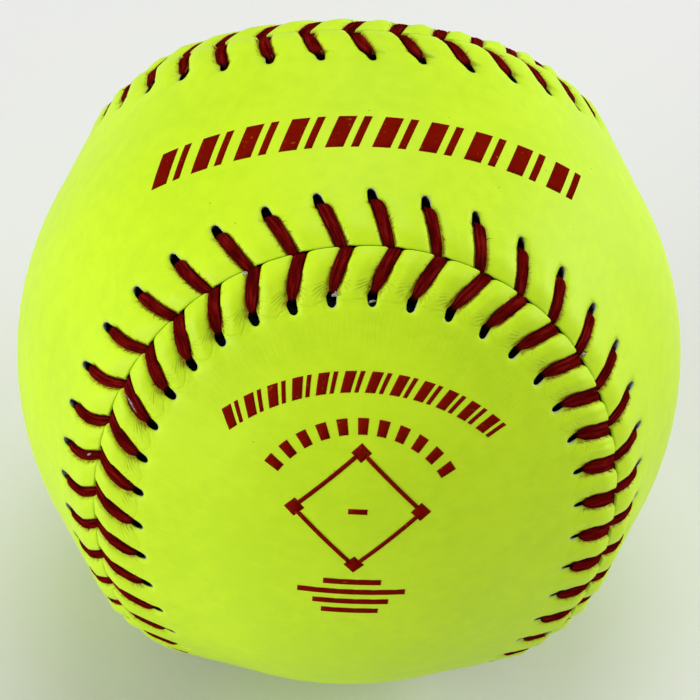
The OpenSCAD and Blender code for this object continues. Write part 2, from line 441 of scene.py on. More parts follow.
def panel_mesh(name, side):
    """A panel as the upper one lies, with the stitches of the given side."""
    own = leg + (0 if side == 1 else stitches//4)
    rows = []
    offsets = []
    reaches = []
    for i, planned in enumerate(row_reaches):
        at = 0.0 if i < len(edge_steps) else planned
        along, off, narrow, stitch_length, middle_share = row_across(i, at, own, side)
        reach = row_reach(i, off, narrow, side)
        farther, skew = moved_by_hole(reach, off, own, side)
        height = row_height(i, reach, off, narrow, middle_share, own, side)
        if i in (first_hole_row, last_hole_row):
            outwards = 1 if i == last_hole_row else -1
            reach = reach + outwards*end_roll*(past_leg == 0)
        s = leg + along/stitch_length + lag(reach, own, side) + skew/pitch
        rows.append(place(s, reach + farther, height, 1))
        offsets.append(off/narrow)
        reaches.append(reach)
    start = unit(rows[-1])
    goal = middle_direction(np.clip(leg + along/stitch_length, 0, stitches))
    angle = np.arccos(np.clip((start*goal).sum(-1), -1, 1))[:, None]
    for i in range(1, middle_rows + 1):
        share = i/middle_rows
        arc = (start*np.sin((1 - share)*angle) + goal*np.sin(share*angle))/np.sin(angle)
        rows.append(ball_r*arc)
        offsets.append(off)
        reaches.append(reach + share*angle[:, 0]*ball_r)
    offsets = np.array(offsets)
    reaches = np.array(reaches)
    across = total_columns + 1

    def in_stitch(corner_of, face):
        """Distance from the middle of the stitch and from the seam, in millimetres."""
        row, col = np.divmod(corner_of, across)
        half_past = (face % total_columns % columns) >= columns//2
        at_half = (col % columns) == columns//2
        mm = offsets[row, col]
        mm = np.where(at_half, np.abs(mm)*np.where(half_past, -1, 1), mm)
        return np.stack([mm, reaches[row, col]], axis=-1)

    def of_panel(corner_of, face):
        """The number of the stitch, and how near it is to the tip of a lobe."""
        number = (face % total_columns + columns//2) // columns % stitches
        return np.stack([number, lobe[corner_of % across]], axis=-1)

    piece = laid_grid(name, np.array(rows), {"UVMap": in_stitch, "stitch": of_panel})
    # The cut edge faces along the seam take the dark material, painted shade in the seam gap.
    for k in range(total_columns):
        piece.data.polygons[k].material_index = 1
    return piece


def cut_holes(piece):
    """Opens an awl hole on each leg's line, and closes the grid at its ends and middle line."""
    bpy.ops.object.mode_set(mode="EDIT")
    bpy.ops.mesh.select_mode(type="FACE")
    bpy.ops.mesh.select_all(action="DESELECT")
    bpy.ops.object.mode_set(mode="OBJECT")
    for row in range(first_hole_row, last_hole_row):
        for n in range(stitches):
            for col in (n*columns, (n*columns - 1) % total_columns):
                piece.data.polygons[row*total_columns + col].select = True
    bpy.ops.object.mode_set(mode="EDIT")
    bpy.ops.mesh.delete(type="FACE")
    bpy.ops.mesh.select_all(action="SELECT")
    bpy.ops.mesh.remove_doubles(threshold=doubles_within)
    bpy.ops.object.mode_set(mode="OBJECT")


def turned_over(piece):
    """Lays an upper panel on the place of the lower one."""
    mesh = piece.data
    x, y, z = corner_places(mesh)
    mesh.vertices.foreach_set("co", np.stack([-y, x, -z], axis=-1).ravel())
    mesh.flip_normals()
    mesh.update()


skived_reaches = [0.3, 1.2, 3.2]
skived_shares = [0.3, 0.45, 1]


def leather_thickness(piece):
    """Gives a panel its thickness, skived thinner towards the seam."""
    mesh = piece.data
    reach = np.zeros(len(mesh.vertices))
    uv = np.empty(len(mesh.loops)*2)
    mesh.uv_layers["UVMap"].data.foreach_get("uv", uv)
    reach[corners_by_face(mesh)] = uv.reshape(-1, 2)[:, 1]
    group = piece.vertex_groups.new(name="full_thickness")
    full = np.interp(reach, skived_reaches, skived_shares).round(2)
    for level in np.unique(full):
        group.add(np.where(full == level)[0].tolist(), float(level), "REPLACE")
    solid = piece.modifiers.new("thickness", "SOLIDIFY")
    solid.thickness = leather_t*MM
    solid.offset = -1
    solid.vertex_group = group.name
    solid.thickness_vertex_group = 0
    # The flesh side and the cut walls take the dark material, painted shade in the holes and the seam.
    solid.material_offset = 1
    solid.material_offset_rim = 1
    solid.use_rim = True
    bpy.context.view_layer.objects.active = piece
    bpy.ops.object.modifier_apply(modifier=solid.name)


def set_sockets(node, values):
    for name, value in values.items():
        node.inputs[name].default_value = value


def new_node(tree, kind, values=None, **settings):
    node = tree.nodes.new(kind)
    for name, value in settings.items():
        setattr(node, name, value)
    set_sockets(node, values or {})
    return node


def feed(tree, node, index, value):
    """Gives a socket a link, where the value is a socket, or else the value itself."""
    if isinstance(value, bpy.types.NodeSocket):
        tree.links.new(value, node.inputs[index])
    else:
        node.inputs[index].default_value = value


def math_node(tree, operation, *inputs):
    node = new_node(tree, "ShaderNodeMath", operation=operation)
    for i, value in enumerate(inputs):
        feed(tree, node, i, value)
    return node.outputs[0]


def product(tree, first, *others):
    for other in others:
        first = math_node(tree, "MULTIPLY", first, other)
    return first


def total_of(tree, first, *others):
    for other in others:
        first = math_node(tree, "ADD", first, other)
    return first


def ramp(tree, value, low, high, to_low=0, to_high=1):
    """Smooth step of value from low to high."""
    node = new_node(tree, "ShaderNodeMapRange", interpolation_type="SMOOTHSTEP")
    tree.links.new(value, node.inputs["Value"])
    set_sockets(node, {"From Min": low, "From Max": high, "To Min": to_low, "To Max": to_high})
    return node.outputs["Result"]


def length_of(tree, a, b):
    """Distance to a point from the two distances to its axes."""
    return math_node(tree, "SQRT", total_of(tree, product(tree, a, a), product(tree, b, b)))


def mix_colour(tree, share, a, b):
    node = new_node(tree, "ShaderNodeMix", data_type="RGBA")
    for index, value in ((0, share), (6, a), (7, b)):
        feed(tree, node, index, value)
    return node.outputs[2]


def layered(tree, colour, *layers):
    """A colour under layers of others, each with its share."""
    for share, over in layers:
        colour = mix_colour(tree, share, colour, over)
    return colour


def noise(tree, vector, scale, detail=2, rough=0.5):
    node = new_node(tree, "ShaderNodeTexNoise", {"Scale": scale, "Detail": detail, "Roughness": rough})
    tree.links.new(vector, node.inputs["Vector"])
    return node.outputs["Fac"]


def stretched(tree, vector, scale):
    node = new_node(tree, "ShaderNodeMapping", {"Scale": scale})
    tree.links.new(vector, node.inputs["Vector"])
    return node.outputs[0]


def object_place(tree):
    return new_node(tree, "ShaderNodeTexCoord").outputs["Object"]


def patches(tree, scale, detail, low, high):
    """Soft patches of noise over a piece."""
    return ramp(tree, noise(tree, object_place(tree), scale, detail), low, high)


def uv_pair(tree, layer):
    """The two values that a UV map holds, and the map itself."""
    uv = new_node(tree, "ShaderNodeUVMap", uv_map=layer)
    split = new_node(tree, "ShaderNodeSeparateXYZ")
    tree.links.new(uv.outputs[0], split.inputs[0])
    return split.outputs["X"], split.outputs["Y"], uv.outputs[0]


def new_material(name, roughness, specular):
    material = bpy.data.materials.new(name)
    material.use_nodes = True
    shader = material.node_tree.nodes["Principled BSDF"]
    set_sockets(shader, {"Roughness": roughness, "Specular IOR Level": specular})
    return material, material.node_tree, shader


def bump(tree, shader, height, distance):
    node = new_node(tree, "ShaderNodeBump", {"Strength": 1.0, "Distance": distance})
    tree.links.new(height, node.inputs["Height"])
    tree.links.new(node.outputs["Normal"], shader.inputs["Normal"])


def colour_by(tree, shader, colour):
    tree.links.new(colour, shader.inputs["Base Color"])


# The grain of corrected, pigmented leather: fine cells and short wrinkles, with a slow
# drift of tone and a few dark pores
grain_group = bpy.data.node_groups.new("leather_grain", "ShaderNodeTree")
grain_group.interface.new_socket("Vector", in_out="INPUT", socket_type="NodeSocketVector")
for socket in ("Height", "Tone", "Specks"):
    grain_group.interface.new_socket(socket, in_out="OUTPUT", socket_type="NodeSocketFloat")
tree = grain_group
given = tree.nodes.new("NodeGroupInput").outputs["Vector"]
result = tree.nodes.new("NodeGroupOutput")
cells = new_node(tree, "ShaderNodeTexVoronoi", {"Scale": 2600.0, "Randomness": 1.0},
    feature="SMOOTH_F1")
tree.links.new(given, cells.inputs["Vector"])
ripple = noise(tree, given, 1300.0, 3)
wrinkle = noise(tree, stretched(tree, given, (1, 1, 3.5)), 420.0, 3, 0.6)
grain_height = total_of(tree, product(tree, cells.outputs["Distance"], 0.45),
    product(tree, ripple, 0.35), product(tree, wrinkle, 0.5))
tree.links.new(grain_height, result.inputs["Height"])
tone_drift = total_of(tree, product(tree, noise(tree, given, 45.0, 3), 0.5),
    product(tree, noise(tree, given, 420.0, 2), 0.3), product(tree, wrinkle, 0.2))
tree.links.new(tone_drift, result.inputs["Tone"])
pores = new_node(tree, "ShaderNodeTexVoronoi", {"Scale": 280.0, "Randomness": 1.0})
tree.links.new(given, pores.inputs["Vector"])
chosen = new_node(tree, "ShaderNodeSeparateColor")
tree.links.new(pores.outputs["Color"], chosen.inputs[0])
speck = product(tree, ramp(tree, pores.outputs["Distance"], 0.02, 0.055, 1, 0),
    math_node(tree, "GREATER_THAN", chosen.outputs[0], 0.8))
tree.links.new(speck, result.inputs["Specks"])


def leather_grain(tree):
    node = new_node(tree, "ShaderNodeGroup", node_tree=grain_group)
    tree.links.new(object_place(tree), node.inputs["Vector"])
    return node.outputs


optic_yellow = (0.605, 0.88, 0.009, 1)
yellow_shade = (0.545, 0.82, 0.007, 1)
crease_shade_green = (0.3, 0.5, 0.005, 1)
cut_edge_and_highlight = (0.72, 0.88, 0.25, 1)
torn_and_glint_grey = (0.5, 0.54, 0.42, 1)
thread_stain = (0.42, 0.16, 0.006, 1)
speck_brown = (0.16, 0.2, 0.01, 1)

leather, tree, shader = new_material("optic_yellow_leather", 0.46, 0.26)
grain = leather_grain(tree)
side_mm, reach_mm, uv = uv_pair(tree, "UVMap")
number, lobe_share, _ = uv_pair(tree, "stitch")
from_leg = math_node(tree, "ABSOLUTE", side_mm)
own_place = new_node(tree, "ShaderNodeCombineXYZ")
tree.links.new(side_mm, own_place.inputs["X"])
tree.links.new(reach_mm, own_place.inputs["Y"])
tree.links.new(product(tree, number, 3.7), own_place.inputs["Z"])
stitch_place = own_place.outputs[0]

# Fine folds fan out from the foot of each leg, most of them on the side that it pulls
fold_centre = 3.9
fold_rays = 31.0
fold_waver = 6.0
below = math_node(tree, "SUBTRACT", reach_mm, fold_centre)
spread = length_of(tree, side_mm, below)
fan_angle = math_node(tree, "ARCTAN2", below, from_leg)
waver = noise(tree, stitch_place, 0.9, 2)
folds = math_node(tree, "SINE",
    total_of(tree, product(tree, fan_angle, fold_rays), product(tree, waver, fold_waver)))
fold_depth = product(tree, ramp(tree, folds, 0.0, 1.0),
    ramp(tree, spread, 1.0, 1.6), ramp(tree, spread, 2.0, 3.6, 1, 0),
    ramp(tree, fan_angle, 0.15, 0.6), ramp(tree, from_leg, 0.6, 0.95),
    ramp(tree, side_mm, -0.5, 0.5, 1, 0.55),
    ramp(tree, noise(tree, stitch_place, 0.7, 1), 0.3, 0.6),
    total_of(tree, product(tree, lobe_share, 0.85), 0.15))

# A soft crease runs from hole to hole where a pillow ends
crease_at = 5.9
crease_bow = 0.3
crease_waver = 1.2
crease_off = math_node(tree, "ABSOLUTE", math_node(tree, "SUBTRACT",
    total_of(tree, reach_mm, product(tree, noise(tree, stitch_place, 0.5, 2), -crease_waver)),
    total_of(tree, product(tree, from_leg, crease_bow), crease_at)))
crease = product(tree, ramp(tree, crease_off, 0.0, 0.3, 1, 0),
    ramp(tree, from_leg, 0.6, 1.3), ramp(tree, from_leg, 1.6, 2.9, 1, 0.35),
    product(tree, lobe_share, 0.75))

# Straight stretch lines run on from the holes over the smooth leather
streak_stretch = (3.4, 0.3, 1)
streaks = product(tree, noise(tree, stretched(tree, uv, streak_stretch), 1.0, 3),
    ramp(tree, reach_mm, 7.4, 8.6), ramp(tree, reach_mm, 11, 17, 1, 0),
    total_of(tree, product(tree, lobe_share, 0.8), 0.2))

leather_bump = 0.00006
marks_depth = total_of(tree, fold_depth, product(tree, crease, 0.6))
leather_height = total_of(tree, product(tree, grain["Height"], 0.5), product(tree, streaks, 0.9),
    product(tree, marks_depth, -2.4))
bump(tree, shader, leather_height, leather_bump)

tone = mix_colour(tree, ramp(tree, grain["Tone"], 0.38, 0.62), yellow_shade, optic_yellow)
by_leg = product(tree, ramp(tree, from_leg, 0.9, 1.3, 1, 0), ramp(tree, reach_mm, 5.8, 6.8, 1, 0),
    patches(tree, 1100.0, 2, 0.36, 0.66), 0.62)
# A pale line along the seam edge: partly the pale cut leather, partly a painted highlight where the edge
# catches the light.
bare_edge_and_highlight = product(tree, ramp(tree, reach_mm, 0.09, 0.14, 1, 0),
    ramp(tree, noise(tree, stitch_place, 0.6, 1), 0.45, 0.6), 0.4)

# The rim of a hole is painted pale at its far end and on one side: partly its pale torn cut edge, partly
# a painted glint.
slot_end = 7.16
past_slot = math_node(tree, "SUBTRACT", reach_mm, math_node(tree, "MINIMUM", reach_mm, slot_end))
off_slot = length_of(tree, side_mm, past_slot)
torn_and_glint = product(tree, ramp(tree, off_slot, 0.67, 0.84, 1, 0),
    ramp(tree, total_of(tree, reach_mm, side_mm), 6.7, 7.6), patches(tree, 500.0, 2, 0.35, 0.55), 0.8)

colour_by(tree, shader, layered(tree, tone,
    # painted shade in the folds and the crease; the stretch lines below are a little darker in the same
    # green
    (product(tree, marks_depth, 0.24), crease_shade_green),
    (ramp(tree, streaks, 0.3, 0.6, 0, 0.07), crease_shade_green),
    (by_leg, thread_stain),
    (bare_edge_and_highlight, cut_edge_and_highlight),
    (torn_and_glint, torn_and_glint_grey),
    (product(tree, grain["Specks"], 0.5), speck_brown)))
tree.links.new(ramp(tree, grain["Tone"], 0.3, 0.7, 0.43, 0.53), shader.inputs["Roughness"])

# Flesh side and cut walls of the leather, black: partly wax and cement, partly painted
# shade in the holes and the seam gap. The far wall of a hole has grey patches, a painted
# glint where it catches the light.
flesh_and_shade_black = (0.003, 0.004, 0.003, 1)
flesh_and_shade_grey = (0.022, 0.026, 0.018, 1)
glint_grey = (0.38, 0.41, 0.34, 1)
flesh_bump = 0.00008
flesh_and_shade, tree, shader = new_material("dark_flesh_side_and_shade", 0.36, 0.4)
fluff = noise(tree, object_place(tree), 2200.0, 4, 0.6)
_, reach_mm, _ = uv_pair(tree, "UVMap")
# Painted glint in patches on the far wall of a hole
painted_glint = product(tree, ramp(tree, reach_mm, 7.0, 7.5), ramp(tree, reach_mm, 8.0, 8.3, 1, 0),
    patches(tree, 700.0, 3, 0.34, 0.54), 0.8)
colour_by(tree, shader, layered(tree, flesh_and_shade_black, (fluff, flesh_and_shade_grey), (painted_glint, glint_grey)))
bump(tree, shader, fluff, flesh_bump)


def finish_panel(piece, cad_node):
    piece.data.materials.append(leather)
    piece.data.materials.append(flesh_and_shade)
    leather_thickness(piece)
    bpy.ops.object.select_all(action="DESELECT")
    piece.select_set(True)
    bpy.ops.object.shade_smooth()
    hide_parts(cad_node)
    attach(piece, "root")


upper_cover = panel_mesh("upper_cover_leather", 1)
cut_holes(upper_cover)
finish_panel(upper_cover, "upper_cover_panel")

lower_cover = panel_mesh("lower_cover_leather", -1)
cut_holes(lower_cover)
turned_over(lower_cover)
finish_panel(lower_cover, "lower_cover_panel")

# Lacing threads
# Two flat waxed threads of three plies each. A leg comes up through a hole, is pulled
# flat over the leather's edge and dives into the seam, then runs under the other panel
# to its next hole. The two threads take turns, so they dive side by side.
thread_sides = 26
steps_between = 3
plies = 3
ply_depth_share = 0.26
flat_power = 0.9
round_power = 0.6
unevenness = 0.012

# Places along a leg: whether it lies on the leather, then its reach, height and width at
# the waist and at the lobe of a panel, and its thickness. Heights are above the pressed
# leather, or under the leather above the smooth ball.
leg_places = np.array([
    (0, 6.45, 6.0, -1.72, -1.72, 0.95, 0.78, 0.45),
    (0, 6.42, 5.95, -0.95, -0.95, 0.98, 0.78, 0.6),
    (1, 6.36, 5.85, -0.4, -0.5, 1.05, 0.82, 0.66),
    (1, 6.18, 5.55, 0.1, -0.1, 1.24, 0.98, 0.68),
    (1, 5.85, 5.05, 0.32, 0.2, 1.58, 1.32, 0.66),
    (1, 5.2, 4.4, 0.38, 0.35, 1.8, 1.62, 0.62),
    (1, 4.2, 3.5, 0.38, 0.37, 1.76, 1.74, 0.6),
    (1, 2.8, 2.5, 0.38, 0.37, 1.68, 1.76, 0.6),
    (1, 1.4, 1.4, 0.37, 0.36, 1.58, 1.74, 0.6),
    (1, 0.62, 0.62, 0.35, 0.35, 1.5, 1.72, 0.6),
    (1, 0.24, 0.24, 0.2, 0.2, 1.44, 1.68, 0.58),
    (1, 0.1, 0.1, -0.3, -0.3, 1.3, 1.45, 0.52),
    (0, 0.06, 0.06, -1.72, -1.72, 1.1, 1.1, 0.45)])
hole_mouth = {"waist": 6.4, "lobe": 5.8}


def spline(v, steps):
    """Catmull-Rom through rows of values, with steps between each two."""
    v = np.vstack([v[:1], v, v[-1:]])
    a, b, c, d = (part[:, None] for part in (v[:-3], v[1:-2], v[2:-1], v[3:]))
    u = (np.arange(steps)/steps)[None, :, None]
    made = 0.5*(2*b + (c - a)*u + (2*a - 5*b + 4*c - d)*u**2 + (3*b - a - 3*c + d)*u**3)
    return made.reshape(-1, v.shape[1])


def thread_route(first):
    """Rows of station, point, width, thickness and reach past the hole's mouth along a thread."""
    n = np.arange(stitches)[:, None]
    side = np.where((n + first) % 2 == 0, 1, -1)
    lobe = lobe_nearness(n, side)
    on_leather, thick = leg_places[:, 0], leg_places[:, 7]
    waist_values, lobe_values = leg_places[:, (1, 3, 5)], leg_places[:, (2, 4, 6)]
    reach, height, width = (waist_values.T[:, None] + (lobe_values - waist_values).T[:, None]*lobe)
    height = height + leg_ground(reach, n, side)*on_leather
    width = width*of_stitch("width", n, side)*leg_narrowness(n, side)
    moved = hole_shift(n, side)*np.interp(reach, hole_reaches[:2], [0, 1])
    s = n + lag(reach, n, side)
    points = place(s, reach + moved, height, side)
    past_mouth = reach - hole_mouth["waist"] - (hole_mouth["lobe"] - hole_mouth["waist"])*lobe
    rows = [s, *np.moveaxis(points, -1, 0), width, thick + 0*s, past_mouth]
    return np.stack(rows, axis=-1).reshape(-1, len(rows))


def thread_piece(name, first):
    route = spline(thread_route(first), steps_between)
    s, p, w, t, past_mouth = route[:, 0], route[:, 1:4], route[:, 4:5], route[:, 5:6], route[:, 6]
    ahead = unit(np.gradient(p, axis=0))
    along = unit(seam_along(station_angle(s)))
    across = unit(along - ahead*(along*ahead).sum(-1, keepdims=True))
    up = np.cross(ahead, across)
    run = np.concatenate([[0], np.cumsum(np.linalg.norm(np.diff(p, axis=0), axis=1))])
    angle = np.linspace(0, 2*math.pi, thread_sides + 1)
    x = np.sign(np.cos(angle))*np.abs(np.cos(angle))**flat_power
    y = np.sign(np.sin(angle))*np.abs(np.sin(angle))**round_power
    # The grooves between the plies wander a little across the thread
    wander = 0.5*np.sin(run/2.3 + first) + 0.35*np.sin(run/5.1)
    ply = np.abs(np.sin(plies/2*math.pi*(x[None, :] + 1) + wander[:, None]))
    y_all = y[None, :]*(1 - ply_depth_share + ply_depth_share*ply)
    rough = np.random.default_rng(31 + first).normal(0, unevenness, y_all.shape)
    rough[:, -1] = rough[:, 0]
    aside = x[None, :]*w/2 + rough
    above = y_all*t/2 + rough
    points = p[:, None] + across[:, None]*aside[..., None] + up[:, None]*above[..., None]
    sides = thread_sides + 1

    def along_thread(corner_of, face):
        """Share of the width, and run along the thread in millimetres."""
        row, col = np.divmod(corner_of, sides)
        return np.stack([x[col], run[row]], axis=-1)

    def from_mouth(corner_of, face):
        """Reach past the hole's mouth in millimetres, and height of the ply."""
        row, col = np.divmod(corner_of, sides)
        return np.stack([past_mouth[row], ply[row, col]], axis=-1)

    piece = laid_grid(name, points, {"UVMap": along_thread, "mouth": from_mouth})
    bpy.ops.object.mode_set(mode="EDIT")
    bpy.ops.mesh.select_all(action="SELECT")
    bpy.ops.mesh.remove_doubles(threshold=doubles_within)
    bpy.ops.mesh.select_mode(type="EDGE")
    bpy.ops.mesh.select_all(action="DESELECT")
    bpy.ops.mesh.select_non_manifold(extend=False)
    bpy.ops.mesh.edge_face_add()
    bpy.ops.mesh.select_all(action="SELECT")
    bpy.ops.mesh.normals_make_consistent(inside=False)
    bpy.ops.object.mode_set(mode="OBJECT")
    bpy.ops.object.shade_smooth()
    return piece


thread_red = (0.16, 0.004, 0.003, 1)
thread_dark = (0.05, 0.001, 0.001, 1)
thread_painted_lit = (0.22, 0.009, 0.007, 1)
groove_shade_red = (0.03, 0.0, 0.001, 1)
pale_pink_fleck = (0.3, 0.14, 0.14, 1)
smear_and_shade_black = (0.005, 0.002, 0.002, 1)
thread_bump = 0.00007

waxed, tree, shader = new_material("waxed_red_thread", 0.8, 0.0)
off_middle, _, uv = uv_pair(tree, "UVMap")
past_mouth, ply_height, _ = uv_pair(tree, "mouth")
fibres = noise(tree, stretched(tree, uv, (8.0, 0.7, 1)), 1.0, 4, 0.65)
# Broad bands painted lighter and darker along the legs: painted light and shade
lit_and_shaded_bands = noise(tree, stretched(tree, uv, (2.2, 0.3, 1)), 1.0, 2)
blotch = noise(tree, object_place(tree), 420.0, 3)
# Painted shade on the thread's rounded edges
edge_shade = ramp(tree, math_node(tree, "ABSOLUTE", off_middle), 0.65, 1.0, 0, 0.5)
# Pale pinkish flecks in small patches
flecks = product(tree, patches(tree, 1500.0, 2, 0.74, 0.79), 0.35)
# Towards the hole's mouth the thread turns black: partly black wax smeared on it, partly painted shade
# where it dives into the hole.
smear_and_mouth_shade = total_of(tree, past_mouth, product(tree, blotch, 0.7))
colour_by(tree, shader, layered(tree, thread_dark,
    (ramp(tree, fibres, 0.3, 0.7), thread_red),
    (ramp(tree, blotch, 0.42, 0.62, 0, 0.5), thread_red),
    (ramp(tree, lit_and_shaded_bands, 0.5, 0.7, 0, 0.8), thread_painted_lit),
    (ramp(tree, lit_and_shaded_bands, 0.34, 0.5, 0.8, 0), thread_dark),
    (edge_shade, groove_shade_red),
    # painted shade in the grooves between the plies
    (ramp(tree, ply_height, 0.05, 0.5, 0.75, 0), groove_shade_red),
    (flecks, pale_pink_fleck),
    (ramp(tree, smear_and_mouth_shade, -0.05, 0.4, 0, 0.96), smear_and_shade_black)))
bump(tree, shader, total_of(tree, fibres, product(tree, ply_height, 0.4)), thread_bump)

for order, name in enumerate(["first", "second"]):
    thread = thread_piece(name + "_waxed_thread", order)
    thread.data.materials.append(waxed)
    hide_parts(name + "_lacing_thread")
    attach(thread, "root")

# Fuzz
# Loose fibres that stand off the edges of the threads and lie on the leather. Each is
# a tapering hair of three sides.
fuzz_each = 42
fuzz_w = 0.068
fuzz_dark = (0.2, 0.002, 0.003, 1)
fuzz_pale = (0.5, 0.08, 0.01, 1)
root_reaches = [0.5, 4.6, 5.9]
root_offs = [0.86, 0.88, 0.62]


def beside_leg(n, side, reach, off, height):
    """A point a distance off the middle of a leg, above the leather or the thread there."""
    s = n + lag(reach, n, side) + off*widened(reach, n, side)/pitch
    eased = pressed(reach)*np.exp(-(off/leg_narrowness(n, side)/press_w)**8)
    return place(s, reach, pillow(reach) - eased - crowned(reach)/2 + height, side)


hairs = 2*stitches*fuzz_each


def hair_corners():
    """Seven corners to each hair: two rings of three, and the tip."""
    draw = np.random.default_rng(5)
    side = np.repeat([1, -1], hairs//2)
    n = np.tile(np.repeat(np.arange(stitches), fuzz_each), 2)
    reach = draw.uniform(root_reaches[0], root_reaches[-1], hairs)
    hand = draw.choice([-1.0, 1.0], hairs)
    root = np.interp(reach, root_reaches, root_offs)*leg_narrowness(n, side)*hand
    length = draw.uniform(0.25, 0.9, hairs)
    out = hand*draw.uniform(0.15, 0.7, hairs)
    back = draw.uniform(-0.9, 0.9, hairs)
    lift = draw.uniform(0.02, 0.3, hairs)
    path = []
    for share, height in ((0, 0.25), (0.5, 0.06), (1, 0.03)):
        path.append(beside_leg(n, side, reach + back*length*share,
            root + out*length*share**1.3, height + lift*share))
    ahead = unit(path[2] - path[0])
    sideways = unit(np.cross(ahead, unit(path[0])))
    upward = np.cross(sideways, ahead)
    corners = []
    for share, centre in zip((1, 0.8), path):
        for around in (0, 2*math.pi/3, 4*math.pi/3):
            ring = sideways*math.cos(around) + upward*math.sin(around)
            corners.append(centre + ring*fuzz_w/2*share)
    return np.stack(corners + [path[2]], axis=1).reshape(-1, 3)


hair_faces = [(2, 1, 0)]
for k in range(3):
    m = (k + 1) % 3
    hair_faces += [(k, m, 3 + m, 3 + k), (3 + k, 3 + m, 6)]
all_faces = [[start + k for k in hair_face] for start in range(0, 7*hairs, 7) for hair_face in hair_faces]
fuzz_mesh = bpy.data.meshes.new("thread_fuzz")
fuzz_mesh.from_pydata((hair_corners()*MM).tolist(), [], all_faces)
fuzz = bpy.data.objects.new("thread_fuzz", fuzz_mesh)
bpy.context.collection.objects.link(fuzz)
fuzz_red, tree, shader = new_material("red_fuzz", 0.7, 0.2)
colour_by(tree, shader, mix_colour(tree, patches(tree, 700.0, 2, 0.4, 0.62), fuzz_dark, fuzz_pale))
fuzz_mesh.materials.append(fuzz_red)
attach(fuzz, "root")

# Wax flakes
# Crumbs and slivers of dried lacing wax, left on the legs and at the mouths of the holes.
# The six first ones are where the photograph shows them.
flake_t = 0.22
on_leg_height = 0.55
in_hole_height = -0.05
mouth_at = 6.2
flake_dark = (0.1, 0.07, 0.07, 1)
flake_pale = (0.45, 0.42, 0.4, 1)
flake_bump = 0.0001

# The stitch, the side, the reach, how far off the leg's middle, the length and the width
flakes = [
    (59, -1, 2.6, -0.4, 3.0, 0.25), (65, -1, 6.1, 0.35, 0.8, 0.7), (66, -1, 7.2, -0.05, 0.45, 0.7),
    (63, -1, 0.4, -1.0, 0.6, 0.6), (71, 1, 0.45, 0.85, 0.8, 0.5), (57, 1, 1.6, 0.25, 0.9, 0.25)]
draw = np.random.default_rng(12)
for i in range(12):
    unseen = int(draw.integers(80, 138)) % stitches
    flakes.append((unseen, int(draw.choice([-1, 1])), draw.uniform(0.6, 7.4),
        draw.uniform(-0.6, 0.6), draw.uniform(0.4, 1.3), draw.uniform(0.25, 0.5)))


def wax_flake(n, side, reach, off, length, width):
    bpy.ops.mesh.primitive_ico_sphere_add(subdivisions=3, radius=0.5)
    piece = bpy.context.object
    mesh = piece.data
    x, y, z = corner_places(mesh)
    lumpy = 1 + 0.3*np.sin(7*x + 3*n) + 0.22*np.sin(11*y + n) + 0.12*np.sin(17*(x + y))
    height = on_leg_height if reach < mouth_at else in_hole_height
    centre = beside_leg(n, side, reach, off, height)
    ahead = unit(beside_leg(n, side, reach + 0.1, off, height) - centre)
    outward = unit(centre)
    across = unit(np.cross(outward, ahead))
    bent = 0.35*width*np.sin(3*x + n)
    laid = (centre + np.outer(x*length, ahead) + np.outer(y*width*lumpy + bent, across)
        + np.outer(z*flake_t*lumpy, outward))
    mesh.vertices.foreach_set("co", (laid*MM).ravel())
    mesh.update()
    return piece


def joined(pieces, name):
    bpy.ops.object.select_all(action="DESELECT")
    for piece in pieces:
        piece.select_set(True)
    bpy.context.view_layer.objects.active = pieces[0]
    bpy.ops.object.join()
    bpy.context.object.name = name
    bpy.ops.object.shade_smooth()
    return bpy.context.object


wax_flakes = joined([wax_flake(*flake) for flake in flakes], "wax_flakes")
wax, tree, shader = new_material("dried_wax", 0.5, 0.4)
crumbly = noise(tree, object_place(tree), 2600.0, 4, 0.6)
flake_tone = ramp(tree, crumbly, 0.35, 0.65)
colour_by(tree, shader, mix_colour(tree, flake_tone, flake_dark, flake_pale))
bump(tree, shader, crumbly, flake_bump)
wax_flakes.data.materials.append(wax)
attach(wax_flakes, "root")

# Trim print
# Dark red ink stamped on the smooth leather: a band of slanted bars along the middle of
# the upper panel, and on the lobe two arcs of bars over a diamond and a few short rules.
ink_lift = 0.03
ink_t = 0.05
ink_dark = (0.16, 0.0035, 0.001, 1)
ink_red = (0.2, 0.006, 0.001, 1)
worn_ink = (0.42, 0.25, 0.01, 1)
ink_bump = 0.000012


def printed_patch(name, outline, on_ball, steps_x, steps_y):
    """A film of ink: a grid laid between four corners of a flat layout, then on the ball."""
    u, v = np.meshgrid(np.linspace(0, 1, steps_x + 1), np.linspace(0, 1, steps_y + 1))
    low = outline[0] + (outline[1] - outline[0])*u[..., None]
    high = outline[3] + (outline[2] - outline[3])*u[..., None]
    piece = laid_grid(name, on_ball(low + (high - low)*v[..., None]), {})
    film = piece.modifiers.new("film", "SOLIDIFY")
    film.thickness = ink_t*MM
    film.offset = -1
    bpy.ops.object.modifier_apply(modifier=film.name)
    return piece


band_lean = 1.4
lobe_middle = unit(np.array([-0.012, -0.911, 0.411]))
lobe_right = unit(np.cross([0, 0, 1], lobe_middle))
lobe_up = np.cross(lobe_middle, lobe_right)


def on_leather(direction):
    """The place of ink on the leather in a direction from the middle of the ball."""
    nearest = np.tensordot(direction, table_points[::40].T, 1).max(-1)
    reach = np.minimum(np.arccos(nearest)*ball_r, blend)
    return direction*(ball_r + pillow(reach) + ink_lift)[..., None]


def on_band(flat):
    """x runs along the middle line of the upper panel, y towards the back, as seen."""
    lon = flat[..., 0]/ball_r
    lat = (flat[..., 1] - band_lean)/ball_r
    return on_leather(np.stack([np.sin(lon)*np.cos(lat), np.sin(lat), np.cos(lon)*np.cos(lat)], axis=-1))


